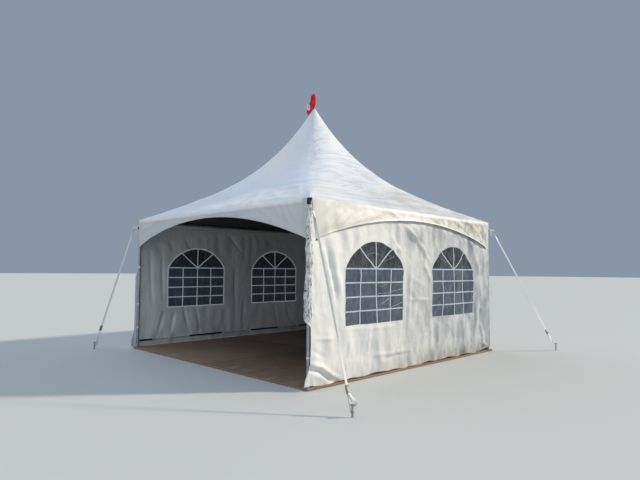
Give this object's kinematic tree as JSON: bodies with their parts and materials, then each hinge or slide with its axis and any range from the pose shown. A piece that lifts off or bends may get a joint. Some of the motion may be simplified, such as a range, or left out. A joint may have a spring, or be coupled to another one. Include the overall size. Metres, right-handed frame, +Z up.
{
  "type": "marquee tent",
  "caption": "Square high-peak marquee tent on an aluminium frame, with arched valances, windowed walls on three sides, an open front, guy straps and a boarded floor.",
  "frame": {"origin": "middle of the floor deck's underside, on the ground", "axes": "+Z up, +X to the right seen from the open front, and the open front faces -Y"},
  "size_m": [7.152, 6.692, 5.19],
  "materials": {
    "canopy_cloth": "white coated polyester, satin, lightly soiled",
    "wall_cloth": "white coated polyester, satin, creased",
    "window_film": "clear soft film, slightly clouded",
    "aluminium": "mill finish tube, dull",
    "black_steel": "black paint, satin",
    "galvanised_steel": "galvanised, dull",
    "webbing": "woven off-white webbing",
    "flag_cloth": "red woven cloth",
    "plywood": "brown film-faced boards, worn"
  },
  "bodies": {
    "root": {"floor_deck": "plywood", "leg_front_right": "aluminium", "leg_front_left": "aluminium", "leg_back_right": "aluminium", "leg_back_left": "aluminium", "eave_beam_front": "aluminium", "eave_beam_right": "aluminium", "eave_beam_back": "aluminium", "eave_beam_left": "aluminium", "corner_fitting_front_right": "black_steel", "corner_fitting_front_left": "black_steel", "corner_fitting_back_right": "black_steel", "corner_fitting_back_left": "black_steel", "mast": "aluminium", "cable_front_right": "galvanised_steel", "cable_front_left": "galvanised_steel", "cable_back_right": "galvanised_steel", "cable_back_left": "galvanised_steel", "roof_panel_front": "canopy_cloth", "roof_panel_right": "canopy_cloth", "roof_panel_back": "canopy_cloth", "roof_panel_left": "canopy_cloth", "valance_front": "canopy_cloth", "valance_right": "canopy_cloth", "valance_back": "canopy_cloth", "valance_left": "canopy_cloth", "wall_right": "wall_cloth", "wall_back": "wall_cloth", "wall_left": "wall_cloth", "window_right_1": "window_film", "window_right_2": "window_film", "window_back_1": "window_film", "window_back_2": "window_film", "window_left_1": "window_film", "window_left_2": "window_film", "finial_rod": "aluminium", "flag": "flag_cloth", "guy_strap_front_right": "webbing", "guy_strap_front_left": "webbing", "guy_strap_back_right": "webbing", "guy_strap_back_left": "webbing", "stake_front_right": "galvanised_steel", "stake_front_left": "galvanised_steel", "stake_back_right": "galvanised_steel", "stake_back_left": "galvanised_steel"}
  },
  "joints": []
}
